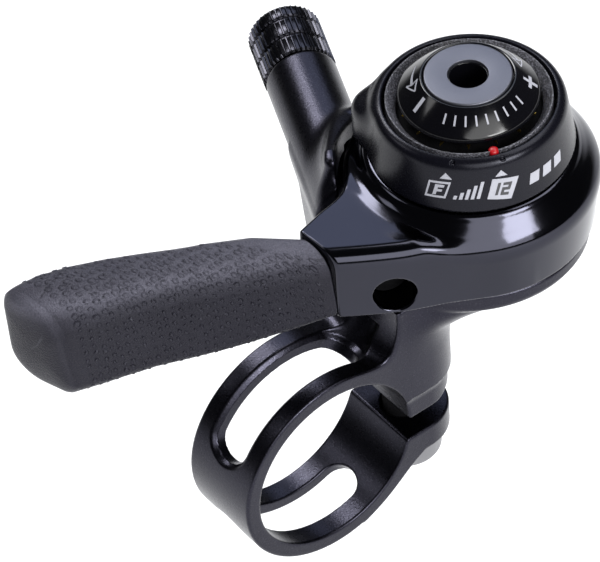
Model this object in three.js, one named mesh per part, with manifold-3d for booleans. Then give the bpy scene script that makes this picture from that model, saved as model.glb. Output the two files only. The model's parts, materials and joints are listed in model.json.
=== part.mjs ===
// A thumb shifter for a bicycle handlebar: a clamp bracket with a cable stop, a gripped lever that
// turns on an upright post, an indexing pack inside the lever hub, and a dial with a tension knob.
//
// Units are millimetres. The origin is the centre of the handlebar bore, +X runs along the
// handlebar, +Y points from the handlebar to the lever hub and +Z is the lever's upright axis.

import * as THREE from 'three';
import { mergeVertices } from 'three/addons/utils/BufferGeometryUtils.js';
import Module from 'manifold-3d';

const wasm = await Module();
wasm.setup();

// ---------------------------------------------------------------- driving dimensions

const BAR_R = 11.1;            // handlebar bore
const BAND_R = 13.1;           // outside of the clamp band
const BAND_W = 11;             // band width along the handlebar
const SLOT_W = 5.3;            // lightening slots in the band
const SPLIT_TOP = 0;           // the split between the clamp's two jaws
const SPLIT_BOTTOM = -3.3;
const BOLT_Y = 14.3;           // pinch bolt axis, also the centre of the rounded stem
const HUB_Y = 26.2;            // lever axis
const FLANGE_R = 13.2;         // bracket flange under the lever
const FLANGE_TOP = 20;
const LEVER_BOTTOM = 20.6;
const HUB_R = 15.2;            // lever hub at its rim
const HUB_FOOT_R = 14.1;       // lever hub at its foot
const RIM_Z = 28.6;
const ARM_TOP = 30.3;
const CAVITY_R = 11.6;         // the room for the indexing pack inside the hub
const FLOOR_TOP = 24;
const CABLE_Z = 24;            // the cable's height
const CABLE_Y = 10.9;          // where the cable line crosses the plane of the handlebar bore
const CABLE_TURN = THREE.MathUtils.degToRad(156.7);
const TUBE_R = 4.4;
const TUBE_END = 30.8;
const BARREL_R = 4.49;
const BARREL_END = 39.25;
const COVER_R = 12.15;
const COVER_FOOT = 32.2;
const COVER_TOP = 39.3;
const DIAL_R = 10.06;          // the opening in the top of the cover
const KNOB_R = 8.18;
const KNOB_TOP = 42.5;
const POST_R = 4.5;
const LEVER_TRAVEL = 150;      // degrees
const ROUND = 40;              // sides of the larger round pieces
const ROUND_SMALL = 16;

// ---------------------------------------------------------------- geometry helpers

const rad = THREE.MathUtils.degToRad;

// A point at a distance and bearing (degrees from +X) from the axis.
function polar(radius, bearing) {
  return new THREE.Vector2(radius * Math.cos(rad(bearing)), radius * Math.sin(rad(bearing)));
}

// Merges shared corners, drops collapsed triangles and makes every face point out.
function closed(geometry) {
  const source = geometry.clone();
  source.deleteAttribute('normal');
  source.deleteAttribute('uv');
  const merged = mergeVertices(source, 1e-4);
  const index = [...merged.index.array];
  const position = merged.getAttribute('position');
  const corners = [0, 1, 2].map(() => new THREE.Vector3());
  const kept = [];
  let volume = 0;
  for (let i = 0; i < index.length; i += 3) {
    const triangle = index.slice(i, i + 3);
    if (new Set(triangle).size < 3) continue;
    triangle.forEach((vertex, corner) => corners[corner].fromBufferAttribute(position, vertex));
    volume += corners[0].dot(corners[1].clone().cross(corners[2]));
    kept.push(triangle);
  }
  if (volume < 0) kept.forEach((triangle) => triangle.reverse());
  merged.setIndex(kept.flat());
  return merged;
}

function solid(geometry) {
  const shell = closed(geometry);
  return new wasm.Manifold(new wasm.Mesh({
    numProp: 3,
    vertProperties: Float32Array.from(shell.getAttribute('position').array),
    triVerts: Uint32Array.from(shell.index.array),
  }));
}

function toGeometry(manifold) {
  const mesh = manifold.getMesh();
  const geometry = new THREE.BufferGeometry();
  geometry.setAttribute('position', new THREE.BufferAttribute(mesh.vertProperties, 3));
  geometry.setIndex([...mesh.triVerts]);
  geometry.computeVertexNormals();
  return geometry;
}

function joined(...geometries) {
  return toGeometry(geometries.map(solid).reduce((sum, piece) => sum.add(piece)));
}

function cut(geometry, ...tools) {
  return toGeometry(tools.map(solid).reduce((rest, tool) => rest.subtract(tool), solid(geometry)));
}

// Turns a closed profile of [radius, height] points about Z.
function turned(profile, sides = ROUND) {
  const points = [...profile, profile[0]].map(([radius, height]) => new THREE.Vector2(radius, height));
  return closed(new THREE.LatheGeometry(points, sides).rotateX(Math.PI / 2));
}

function ring(inner, outer, bottom, top, sides = ROUND) {
  return turned([[inner, bottom], [outer, bottom], [outer, top], [inner, top]], sides);
}

function rod(radius, bottom, top, sides = ROUND_SMALL) {
  return new THREE.CylinderGeometry(radius, radius, top - bottom, sides)
    .rotateX(Math.PI / 2)
    .translate(0, 0, (top + bottom) / 2);
}

// A prism with an outline seen from above.
function slab(shape, bottom, top, curveSegments = 8) {
  return closed(new THREE.ExtrudeGeometry(shape, { depth: top - bottom, bevelEnabled: false, curveSegments })
    .translate(0, 0, bottom));
}

// A prism with an outline in the YZ plane, running across the handlebar clamp.
function crosswise(shape, from, to, curveSegments = 12) {
  const toYZ = new THREE.Matrix4().makeBasis(
    new THREE.Vector3(0, 1, 0),
    new THREE.Vector3(0, 0, 1),
    new THREE.Vector3(1, 0, 0),
  );
  return slab(shape, from, to, curveSegments).applyMatrix4(toYZ);
}

// A round bar along Z, laid down along X.
const alongX = (geometry) => geometry.rotateY(Math.PI / 2);

function hexagon(acrossFlats) {
  const corner = acrossFlats / Math.sqrt(3);
  return new THREE.Shape([0, 60, 120, 180, 240, 300].map((bearing) => polar(corner, bearing)));
}

// The area between two radii and two bearings.
function sector(inner, outer, from, to) {
  const shape = new THREE.Shape();
  shape.absarc(0, 0, outer, rad(from), rad(to), false);
  shape.absarc(0, 0, inner, rad(to), rad(from), true);
  return shape;
}

// Joins closed loops of equal length into one skin with flat ends.
function loft(loops) {
  const count = loops[0].length;
  const positions = loops.flat().flatMap((point) => [point.x, point.y, point.z]);
  const triangles = [];
  for (let row = 0; row < loops.length - 1; row += 1) {
    for (let i = 0; i < count; i += 1) {
      const a = row * count + i;
      const b = row * count + ((i + 1) % count);
      triangles.push(a, b, b + count, a, b + count, a + count);
    }
  }
  const last = (loops.length - 1) * count;
  for (let i = 1; i < count - 1; i += 1) {
    triangles.push(0, i + 1, i, last, last + i, last + i + 1);
  }
  const geometry = new THREE.BufferGeometry();
  geometry.setAttribute('position', new THREE.Float32BufferAttribute(positions, 3));
  geometry.setIndex(triangles);
  return closed(geometry);
}

// The upright lever axis and the cable line, as places that pieces are built around.
const hubPlace = new THREE.Matrix4().makeTranslation(0, HUB_Y, 0);
const cablePlace = new THREE.Matrix4().makeTranslation(0, CABLE_Y, CABLE_Z)
  .multiply(new THREE.Matrix4().makeRotationZ(CABLE_TURN));
const atHub = (geometry) => geometry.applyMatrix4(hubPlace);
const onCable = (geometry) => geometry.applyMatrix4(cablePlace);
const fromHub = new THREE.Matrix4().makeTranslation(0, -HUB_Y, 0);

// ---------------------------------------------------------------- clamp bracket

const SHIELD_IN = HUB_R + 0.5;     // the wall that carries the cable stop past the lever hub
const SHIELD_OUT = 18.1;
const SHIELD_FROM = 200;
const SHIELD_TO = 231;
const SHIELD_TOP = 31.9;
const POST_HOLE_R = 4;
const STOP_BEARING = 200;
const STOP_RADIUS = 10;
const STOP_HOLE_R = 1.1;
const EAR_FLAT_Z = -6.8;
const FLARE_SIDES = 28;

function clampBand() {
  const outline = new THREE.Shape();
  outline.absarc(0, 0, BAND_R, 0, 2 * Math.PI);
  return crosswise(outline, -BAND_W / 2, BAND_W / 2, ROUND / 2);
}

// A band slot with round ends, as the space it takes out of the band.
function bandSlot(from, to) {
  const halfWidth = SLOT_W / 2;
  const endAngle = THREE.MathUtils.radToDeg(halfWidth / BAND_R);
  const middle = crosswise(sector(8, 17, from + endAngle, to - endAngle), -halfWidth, halfWidth, 10);
  const ends = [from + endAngle, to - endAngle].map((bearing) => rod(halfWidth, 8, 17)
    .rotateX(rad(bearing - 90)));
  return joined(middle, ...ends);
}

// The rounded stem seen from above, as wide as the band.
function stemOutline(back) {
  const half = BAND_W / 2;
  const shape = new THREE.Shape();
  shape.moveTo(-half, back);
  shape.lineTo(half, back);
  shape.lineTo(half, BOLT_Y);
  shape.absarc(0, BOLT_Y, half, 0, Math.PI);
  return shape;
}

// The jaws and the stem keep only what lies inside this side outline.
function stemProfile() {
  const shape = new THREE.Shape();
  shape.moveTo(0, -9.5);
  shape.lineTo(8.6, -9.5);
  shape.lineTo(10.6, -8.4);
  shape.lineTo(12.6, -7);
  shape.lineTo(14.4, EAR_FLAT_Z);
  shape.lineTo(21, EAR_FLAT_Z);
  shape.lineTo(21, 12);
  shape.lineTo(10.3, 16.9);
  shape.lineTo(9.6, 15.4);
  shape.lineTo(8.2, 13.8);
  shape.lineTo(6.2, 12.8);
  shape.lineTo(3.4, 12.6);
  shape.lineTo(0, 12.9);
  return shape;
}

function stem() {
  const post = solid(slab(stemOutline(0), -9.5, 17.5));
  return toGeometry(post.intersect(solid(crosswise(stemProfile(), -20, 20))));
}

// The trumpet between the stem and the flange under the lever: circles that grow and move over.
function trumpet() {
  const stages = [[7, 0], [10.5, 0.03], [13, 0.1], [15, 0.24], [16.4, 0.43], [17.4, 0.68], [18, 1]];
  const loops = stages.map(([height, share]) => {
    const radius = THREE.MathUtils.lerp(5.4, FLANGE_R, share);
    const centre = THREE.MathUtils.lerp(BOLT_Y, HUB_Y, share);
    return Array.from({ length: FLARE_SIDES }, (_, i) => {
      const point = polar(radius, (i * 360) / FLARE_SIDES);
      return new THREE.Vector3(point.x, centre + point.y, height);
    });
  });
  const rim = loops.at(-1).map((point) => new THREE.Vector3(point.x, point.y, FLANGE_TOP));
  return loft([...loops, rim]);
}

// The cable tube with the gusset that carries it, before the lever's room is cut out.
function cableStop() {
  const tube = alongX(rod(TUBE_R, 7.5, TUBE_END, 24));
  const web = new THREE.Shape([
    new THREE.Vector2(7, 15.4 - CABLE_Z),
    new THREE.Vector2(14.2, 15.4 - CABLE_Z),
    new THREE.Vector2(15.4, 17 - CABLE_Z),
    new THREE.Vector2(17.2, 20.6 - CABLE_Z),
    new THREE.Vector2(18.5, 21.6 - CABLE_Z),
    new THREE.Vector2(18.5, 0),
    new THREE.Vector2(7, 0),
  ]);
  const gusset = slab(web, 0.05 - TUBE_R, TUBE_R - 0.05).rotateX(Math.PI / 2).scale(1, -1, 1);
  return onCable(joined(tube, gusset));
}

// The wall segment around the hub, with the lip that holds the cover's ear.
function shieldWall() {
  const wall = slab(sector(SHIELD_IN, SHIELD_OUT, SHIELD_FROM, SHIELD_TO), FLANGE_TOP, SHIELD_TOP);
  const lip = slab(sector(13.9, SHIELD_OUT, 205, SHIELD_TO), 30.9, SHIELD_TOP);
  return atHub(joined(wall, lip));
}

function bracket() {
  const leverRoom = atHub(ring(0.5, SHIELD_IN, FLANGE_TOP, 30.9));
  const leverRoomCore = atHub(rod(1, FLANGE_TOP, 34));
  const body = cut(
    joined(clampBand(), stem(), trumpet(), cableStop(), shieldWall()),
    leverRoom,
    leverRoomCore,
  );
  const split = new THREE.BoxGeometry(20, 30, SPLIT_TOP - SPLIT_BOTTOM)
    .translate(0, 15, (SPLIT_TOP + SPLIT_BOTTOM) / 2);
  const bore = crosswise(new THREE.Shape().absarc(0, 0, BAR_R, 0, 2 * Math.PI), -20, 20, ROUND / 2);
  const boltWay = rod(2.7, -12, 11).translate(0, BOLT_Y, 0);
  const boltSeat = rod(4.7, -12, EAR_FLAT_Z, 24).translate(0, BOLT_Y, 0);
  const postHole = atHub(rod(POST_HOLE_R, 10, 22, 24));
  const stopPlace = polar(STOP_RADIUS, STOP_BEARING);
  const stopHole = atHub(rod(STOP_HOLE_R, 18, 22).translate(stopPlace.x, stopPlace.y, 0));
  const cableWay = onCable(alongX(rod(3.15, 15, 40)));
  const cableMouth = onCable(alongX(rod(2.4, 3, 16)));
  return cut(
    body, split, bore, boltWay, boltSeat, postHole, stopHole, cableWay, cableMouth,
    bandSlot(54, 158), bandSlot(202, 302),
  );
}

function clampBolt() {
  const blank = turned([[0, -10.4], [4, -10.4], [4.5, -9.9], [4.5, EAR_FLAT_Z - 0.05],
    [2.4, EAR_FLAT_Z - 0.05], [2.4, 9.5], [2, 10], [0, 10]], 20);
  return cut(blank, slab(hexagon(4), -12, -8.2)).translate(0, BOLT_Y, 0);
}

function stopPin() {
  const place = polar(STOP_RADIUS, STOP_BEARING);
  return rod(STOP_HOLE_R - 0.1, 18.1, 22).translate(place.x, place.y, 0);
}

// ---------------------------------------------------------------- post and lever

const POST_TOP = 37.2;
const BUSH_R = 6;

function pivotPost() {
  return turned([[0, 16.4], [3.5, 16.4], [3.9, 16.8], [3.9, 20.05], [POST_R, 20.05],
    [POST_R, POST_TOP - 0.5], [POST_R - 0.5, POST_TOP], [2.2, POST_TOP], [2.2, 24], [0, 23]], 24);
}

// The arm seen from above, from the hub axis: front wall, joint with the grip, then the back wall.
function armOutline() {
  const shape = new THREE.Shape();
  shape.moveTo(0, 0);
  shape.lineTo(...polar(HUB_FOOT_R, -20));
  shape.quadraticCurveTo(10.3, -10.6, 8.2, -16.1);
  shape.quadraticCurveTo(6.6, -19.2, 3.4, -22.4);
  shape.lineTo(-3, -22.9);
  shape.quadraticCurveTo(-4.3, -18, -4.8, -15.2);
  shape.lineTo(-8, -11.5);
  return shape;
}

// The bar that runs on inside the rubber grip.
const CORE_FROM = [0.4, -20];
const CORE_TO = [-11.3, -45.4];
const CORE_W = 3;
const CORE_H = 7;
const CORE_Z = 25;

function coreBar(clearance) {
  const from = new THREE.Vector2(...CORE_FROM);
  const run = new THREE.Vector2(...CORE_TO).sub(from);
  const length = run.length() + clearance;
  const side = 2 * clearance;
  return new THREE.BoxGeometry(length, CORE_W + side, CORE_H + side)
    .translate(length / 2, 0, CORE_Z)
    .rotateZ(run.angle())
    .translate(from.x, from.y, 0);
}

function cableGroove() {
  const half = 1.7;
  const arc = slab(sector(12.7, 17.5, 42, 249), CABLE_Z - half, CABLE_Z + half, 14);
  const end = alongX(rod(half, 12.7, 17.5, 12)).translate(0, 0, CABLE_Z).rotateZ(rad(42));
  return joined(arc, end);
}

// The arc under the hub that the stop pin runs in, which sets the lever's travel.
function stopGroove() {
  const half = STOP_HOLE_R + 0.3;
  const spare = 8;
  return slab(sector(STOP_RADIUS - half, STOP_RADIUS + half,
    STOP_BEARING - LEVER_TRAVEL - spare, STOP_BEARING + spare), 20, 22.4, 10);
}

function leverBody() {
  const hub = turned([[BUSH_R + 0.1, LEVER_BOTTOM], [HUB_FOOT_R, LEVER_BOTTOM], [HUB_R - 0.1, RIM_Z - 0.8],
    [HUB_R, RIM_Z - 0.2], [HUB_R - 0.2, RIM_Z + 0.4], [HUB_R - 0.7, RIM_Z + 0.75], [13.6, 30.2],
    [12.6, 31.3], [12, 31.9], [CAVITY_R, 31.9], [CAVITY_R, FLOOR_TOP], [BUSH_R + 0.1, FLOOR_TOP]]);
  const arm = slab(armOutline(), LEVER_BOTTOM, ARM_TOP);
  const cavity = rod(CAVITY_R, FLOOR_TOP, 40, ROUND);
  const bore = rod(BUSH_R + 0.1, 15, 40, ROUND);
  const tunnel = onCable(alongX(rod(1.1, -14, 4))).applyMatrix4(fromHub);
  const headPocket = onCable(alongX(rod(2.45, -14, -4.2)).translate(0, -0.9, -0.5)).applyMatrix4(fromHub);
  return cut(
    joined(hub, cut(arm, cavity, bore), coreBar(0)),
    cableGroove(), stopGroove(), tunnel, headPocket,
  );
}

// One cross-section of the grip: a rounded block leaning out from the front wall's foot.
function gripLoop({ x, y, bearing, width, bottom, top, bulge }) {
  const along = polar(1, bearing);
  const corners = [
    { u: 2, z: bottom + 2, r: 2, from: 270 },
    { u: width - 2.2, z: bottom + 2.2, r: 2.2, from: 180, mirror: true },
    { u: width - 2.6, z: top - 2.4, r: 2.4, from: 90, mirror: true },
    { u: 3, z: top - 3, r: 3, from: 0, mirror: true },
  ];
  const outline = [];
  const steps = 4;
  const quarters = [
    [corners[0], 180, 270], [corners[1], 270, 360], [corners[2], 0, 90], [corners[3], 90, 180],
  ];
  quarters.forEach(([corner, from, to]) => {
    for (let i = 0; i <= steps; i += 1) {
      const turn = rad(from + ((to - from) * i) / steps);
      outline.push([corner.u + corner.r * Math.cos(turn), corner.z + corner.r * Math.sin(turn)]);
    }
  });
  const out = polar(bulge, bearing + 90);
  return outline.map(([u, z]) => new THREE.Vector3(x + along.x * u + out.x, y + along.y * u + out.y, z));
}

function grip() {
  const stations = [
    { x: 3.3, y: -22.8, bearing: 185, width: 6.6, bottom: 20.3, top: 30.2, bulge: 0 },
    { x: 1.2, y: -27, bearing: 185, width: 8, bottom: 19.3, top: 30.6, bulge: 0 },
    { x: -2.3, y: -34.3, bearing: 186, width: 8.3, bottom: 18.4, top: 31.1, bulge: 0 },
    { x: -5.9, y: -41.6, bearing: 189, width: 8.3, bottom: 17.7, top: 31.5, bulge: 0 },
    { x: -8.1, y: -47.6, bearing: 199, width: 8.8, bottom: 17.1, top: 31.9, bulge: 0 },
    { x: -9.1, y: -50.6, bearing: 204, width: 9.3, bottom: 17, top: 31.9, bulge: 0 },
    { x: -9.7, y: -50.85, bearing: 204, width: 8.4, bottom: 17.6, top: 31.2, bulge: 1.2 },
    { x: -10.8, y: -51.3, bearing: 204, width: 6.3, bottom: 19.2, top: 29.8, bulge: 1.7 },
  ];
  return cut(loft(stations.map(gripLoop)), coreBar(0.25));
}

function leverBushing() {
  return turned([[POST_R + 0.08, LEVER_BOTTOM + 0.05], [BUSH_R, LEVER_BOTTOM + 0.05], [BUSH_R, FLOOR_TOP + 0.1],
    [7.3, FLOOR_TOP + 0.1], [7.3, FLOOR_TOP + 0.8], [POST_R + 0.08, FLOOR_TOP + 0.8]], 28);
}

// ---------------------------------------------------------------- indexing and friction pack

const INDEX_PITCH = LEVER_TRAVEL / 11;
const DETENT_RADIUS = 9.4;
const BALL_R = 1.1;
const INDEX_TOP = 25.3;
const BALL_Z = INDEX_TOP + BALL_R + 0.1;
const BALL_BEARINGS = [-60, 120];

// A flat ring with holes for the detent balls, one for every gear on both sides.
function indexRing() {
  const shape = new THREE.Shape().absarc(0, 0, 11.3, 0, 2 * Math.PI);
  shape.holes.push(new THREE.Path().absarc(0, 0, 7.7, 0, 2 * Math.PI));
  for (const start of BALL_BEARINGS) {
    for (let gear = 0; gear < 12; gear += 1) {
      const centre = polar(DETENT_RADIUS, start - gear * INDEX_PITCH);
      const hole = [0, 90, 180, 270].map((bearing) => polar(0.8, bearing).add(centre));
      shape.holes.push(new THREE.Path(hole));
    }
  }
  return slab(shape, FLOOR_TOP + 0.1, INDEX_TOP, 16);
}

function detentBall(bearing) {
  const place = polar(DETENT_RADIUS, bearing);
  return closed(new THREE.SphereGeometry(BALL_R, 8, 6)).translate(place.x, place.y, BALL_Z);
}

function detentCarrier() {
  const holes = BALL_BEARINGS.map((bearing) => {
    const place = polar(DETENT_RADIUS, bearing);
    return rod(BALL_R + 0.12, 20, 30).translate(place.x, place.y, 0);
  });
  return cut(ring(POST_R + 0.1, 11.2, BALL_Z - 0.5, BALL_Z + 0.5, 28), ...holes);
}

// A flat ring bent into three gentle waves.
function waveSpring() {
  const middle = 28.35;
  const wave = 0.35;
  const geometry = ring(8.2, 10.6, middle - 0.15, middle + 0.15, 24);
  const position = geometry.getAttribute('position');
  for (let i = 0; i < position.count; i += 1) {
    const bearing = Math.atan2(position.getY(i), position.getX(i));
    position.setZ(i, position.getZ(i) + wave * Math.cos(3 * bearing));
  }
  return geometry;
}

// A flat washer that fits over the post.
function washer(outer, bottom, top) {
  return ring(POST_R + 0.1, outer, bottom, top, 24);
}

// ---------------------------------------------------------------- cover, dial and knob

function coverShell() {
  return turned([[COVER_R, COVER_FOOT], [COVER_R - 0.15, COVER_FOOT + 1], [11.45, 37], [11.25, 38.4],
    [11, COVER_TOP - 0.3], [10.7, COVER_TOP], [DIAL_R, COVER_TOP], [DIAL_R, 34], [11.2, 34], [11.2, COVER_FOOT]]);
}

// The ear that stands on the bracket's lip and keeps the cover from turning.
function coverEar() {
  const shape = new THREE.Shape();
  shape.moveTo(...polar(11.4, 240));
  shape.lineTo(...polar(12.3, 234));
  shape.lineTo(...polar(13.4, 229));
  shape.lineTo(...polar(13.9, 223));
  shape.lineTo(...polar(13.7, 215));
  shape.lineTo(...polar(12.6, 207));
  shape.lineTo(...polar(11.4, 200));
  return joined(slab(shape, COVER_FOOT, 36.6), slab(shrunk(shape, 0.93), 36.5, 37.4));
}

function shrunk(shape, share) {
  return new THREE.Shape(shape.getPoints().map((point) => point.clone().multiplyScalar(share)));
}

function cover() {
  return cut(joined(coverShell(), coverEar()), rod(11.2, 30, 34, ROUND), rod(DIAL_R, 30, 40, ROUND));
}

const DOT_RADIUS = 9.08;
const DOT_BEARING = -22.4;

function modeRing() {
  const blank = turned([[8.45, 32.5], [11, 32.5], [11, 33.8], [9.66, 33.8], [9.66, 39],
    [9.5, 39.1], [8.55, 38.1], [8.45, 37.9]], 32);
  const place = polar(DOT_RADIUS, DOT_BEARING);
  return cut(blank, rod(0.5, 37.2, 40, 8).translate(place.x, place.y, 0));
}

function modeDot() {
  const place = polar(DOT_RADIUS, DOT_BEARING);
  return turned([[0, 37.3], [0.42, 37.3], [0.42, 38.75], [0.25, 38.9], [0, 38.95]], 8)
    .translate(place.x, place.y, 0);
}

function tensionKnob() {
  return turned([[2.3, 39], [KNOB_R - 0.3, 39], [KNOB_R, 39.25], [KNOB_R, 39.95], [KNOB_R - 0.1, 40.1],
    [5.35, 42.35], [5.2, 42.35], [5.2, 40.2], [2.3, 40.2]], 32);
}

function tensionScrew() {
  const blank = turned([[0, 26], [2, 26], [2, 40.3], [5.1, 40.3], [5.1, KNOB_TOP], [2.4, KNOB_TOP],
    [2.4, KNOB_TOP - 0.5], [0, KNOB_TOP - 0.5]], 24);
  return cut(blank, slab(hexagon(4), KNOB_TOP - 1.9, KNOB_TOP + 1));
}

// ---------------------------------------------------------------- cable adjuster, built along Z

const O_RING_FROM = 26.6;
const O_RING_TO = 27.9;

function barrelAdjuster() {
  const from = TUBE_END + 0.3;
  const groove = 0.45;
  return alongX(turned([[1.2, 20], [2.9, 20], [2.9, O_RING_FROM], [2.3, O_RING_FROM], [2.3, O_RING_TO],
    [2.9, O_RING_TO], [2.9, from], [BARREL_R, from], [BARREL_R, 33.7], [BARREL_R - groove, 33.7],
    [BARREL_R - groove, 34.2], [BARREL_R, 34.2], [BARREL_R, 36.8], [BARREL_R - groove, 36.8],
    [BARREL_R - groove, 37.3], [BARREL_R, 37.3], [BARREL_R, BARREL_END - 0.3],
    [BARREL_R - 0.3, BARREL_END], [2.75, BARREL_END], [2.75, 33], [1.2, 33]], 20));
}

function housingSeat() {
  return alongX(turned([[0.9, 33.2], [2.55, 33.2], [2.55, 38.4], [2.1, 38.4], [2.1, 34], [0.9, 34]], 16));
}

function adjusterRing() {
  const middle = (O_RING_FROM + O_RING_TO) / 2;
  const section = [0, 60, 120, 180, 240, 300].map((bearing) => {
    const point = polar(1, bearing);
    return [2.7 + 0.32 * point.x, middle + 0.5 * point.y];
  });
  return alongX(turned(section, 16));
}

// ---------------------------------------------------------------- materials and assembly

const finishes = {
  blackAlloy: { color: 0x2b2b30, roughness: 0.45, metalness: 0.6 },
  polishedBlack: { color: 0x0d0e12, roughness: 0.12, metalness: 0.3 },
  rubber: { color: 0x39383c, roughness: 0.85, metalness: 0 },
  coverPlastic: { color: 0x1c1c20, roughness: 0.55, metalness: 0 },
  ringPlastic: { color: 0x303034, roughness: 0.8, metalness: 0 },
  greyAlloy: { color: 0x8d92a6, roughness: 0.35, metalness: 0.9 },
  steel: { color: 0xb4b6ba, roughness: 0.3, metalness: 1 },
  brass: { color: 0xb08d3c, roughness: 0.35, metalness: 1 },
  nylon: { color: 0xd9d6c8, roughness: 0.6, metalness: 0 },
  fibre: { color: 0x6b4a33, roughness: 0.9, metalness: 0 },
  red: { color: 0xc81414, roughness: 0.4, metalness: 0 },
};

function piece(name, geometry, finish) {
  const mesh = new THREE.Mesh(geometry, new THREE.MeshStandardMaterial(finishes[finish]));
  mesh.name = name;
  return mesh;
}

const shifter = new THREE.Group();
shifter.add(piece('bracket', bracket(), 'blackAlloy'));
shifter.add(piece('clamp_bolt', clampBolt(), 'steel'));

const hub = new THREE.Group();
hub.position.set(0, HUB_Y, 0);
hub.add(piece('stop_pin', stopPin(), 'steel'));
hub.add(piece('pivot_post', pivotPost(), 'steel'));
hub.add(piece('base_washer', washer(8.6, FLANGE_TOP + 0.05, LEVER_BOTTOM - 0.08), 'nylon'));
hub.add(piece('lever_body', leverBody(), 'polishedBlack'));
hub.add(piece('lever_bushing', leverBushing(), 'nylon'));
hub.add(piece('grip', grip(), 'rubber'));
hub.add(piece('index_ring', indexRing(), 'steel'));
BALL_BEARINGS.forEach((bearing, i) => {
  hub.add(piece(`detent_ball_${i + 1}`, detentBall(bearing), 'steel'));
});
hub.add(piece('detent_carrier', detentCarrier(), 'steel'));
hub.add(piece('wave_spring', waveSpring(), 'steel'));
hub.add(piece('pressure_plate', washer(11, 29.1, 29.9), 'steel'));
hub.add(piece('friction_washer_lower', washer(10.6, 30, 30.5), 'brass'));
hub.add(piece('friction_disc', washer(10.6, 30.6, 31.2), 'fibre'));
hub.add(piece('friction_washer_upper', washer(10.6, 31.3, 31.8), 'brass'));
hub.add(piece('dust_seal', ring(11.05, 11.45, 30.6, 32.1, 28), 'rubber'));
hub.add(piece('cover', cover(), 'coverPlastic'));
hub.add(piece('mode_ring', modeRing(), 'ringPlastic'));
hub.add(piece('mode_dot', modeDot(), 'red'));
hub.add(piece('spring_washer', ring(2.3, 5.6, POST_TOP + 0.1, 38.1, 20), 'steel'));
hub.add(piece('knob_washer', ring(2.3, 8.3, 38.2, 38.8, 28), 'brass'));
hub.add(piece('tension_knob', tensionKnob(), 'polishedBlack'));
hub.add(piece('tension_screw', tensionScrew(), 'greyAlloy'));
shifter.add(hub);

const cable = new THREE.Group();
cable.position.set(0, CABLE_Y, CABLE_Z);
cable.rotation.z = CABLE_TURN;
cable.add(piece('barrel_adjuster', barrelAdjuster(), 'blackAlloy'));
cable.add(piece('housing_seat', housingSeat(), 'brass'));
cable.add(piece('adjuster_o_ring', adjusterRing(), 'rubber'));
shifter.add(cable);

export default shifter;
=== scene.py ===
"""The looks of the thumb shifter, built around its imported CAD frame.

Shapes are written in millimetres and turned into metres when a mesh is made. The origin is the
centre of the handlebar bore, +X runs along the handlebar, +Y towards the hub, +Z up its axis.
"""

import json
import math
import random

import bmesh
import bpy
import numpy as np
from mathutils import Matrix, Vector


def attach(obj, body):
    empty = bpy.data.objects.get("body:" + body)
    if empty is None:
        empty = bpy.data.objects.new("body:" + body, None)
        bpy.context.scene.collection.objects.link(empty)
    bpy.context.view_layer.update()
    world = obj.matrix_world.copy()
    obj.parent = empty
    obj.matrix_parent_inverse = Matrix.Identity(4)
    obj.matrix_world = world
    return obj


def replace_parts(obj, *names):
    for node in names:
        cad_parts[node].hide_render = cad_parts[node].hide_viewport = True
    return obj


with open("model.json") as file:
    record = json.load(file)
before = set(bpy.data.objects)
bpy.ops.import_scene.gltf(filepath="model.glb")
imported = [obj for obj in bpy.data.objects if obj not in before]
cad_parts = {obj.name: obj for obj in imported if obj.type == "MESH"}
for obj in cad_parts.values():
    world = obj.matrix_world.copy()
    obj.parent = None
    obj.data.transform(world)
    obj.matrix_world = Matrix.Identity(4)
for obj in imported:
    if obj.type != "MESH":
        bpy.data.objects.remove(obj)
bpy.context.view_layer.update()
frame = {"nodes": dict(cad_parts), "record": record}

MM = 0.001
FINE = 1.0     # coarser skins while trying things

# ------------------------------------------------------------------ sizes, in millimetres

BAR_R = 11.1
BAND_R = 13.1
BAND_HALF = 5.5
SLOT_HALF = 2.65
BOLT_Y = 14.3
HUB_Y = 26.2
FLANGE_R = 13.2
FLANGE_TOP = 20.0
LEVER_BOTTOM = 20.6
HUB_R = 15.2
HUB_FOOT_R = 14.1
RIM_Z = 28.6
ARM_TOP = 30.3
CABLE_Z = 24.0
CABLE_Y = 10.9
CABLE_TURN = math.radians(156.7)
TUBE_R = 4.4
TUBE_END = 30.8
BARREL_R = 4.49
BARREL_END = 39.25
COVER_FOOT = 32.2
COVER_TOP = 39.05
COVER_R = 12.15
COVER_DRAFT = 0.15      # the cover narrows this much for each mm up
DIAL_R = 10.06
KNOB_R = 8.18
KNOB_EDGE_Z = 39.9
KNOB_TIP_R = 5.5
KNOB_TIP_Z = 42.38
KNOB_TOP = 42.5
SCREW_BORE = 2.75       # the hole in everything the knob's screw goes through
POCKET_Z = 23.5         # the pocket in the lever's wall, beside the cable line
POCKET_ASIDE = 1.0
CRISP_ANGLE = 35        # edges sharper than this, in degrees, stay crisp


# ------------------------------------------------------------------ distance fields
# A field gives the distance outside a shape, negative inside it. Sizes and fillets are in mm.

def join(a, b, fillet=0.0):
    if fillet <= 0:
        return np.minimum(a, b)
    h = np.maximum(fillet - np.abs(a - b), 0) / fillet
    return np.minimum(a, b) - h * h * fillet / 4


def meet(a, b, fillet=0.0):
    return -join(-a, -b, fillet)


def carve(a, tool, fillet=0.0):
    return meet(a, -tool, fillet)


def between(value, low, high):
    return np.maximum(low - value, value - high)


def eased(share):
    """A share held between 0 and 1, with a soft start and end."""
    share = np.clip(share, 0, 1)
    return share * share * (3 - 2 * share)


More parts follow.
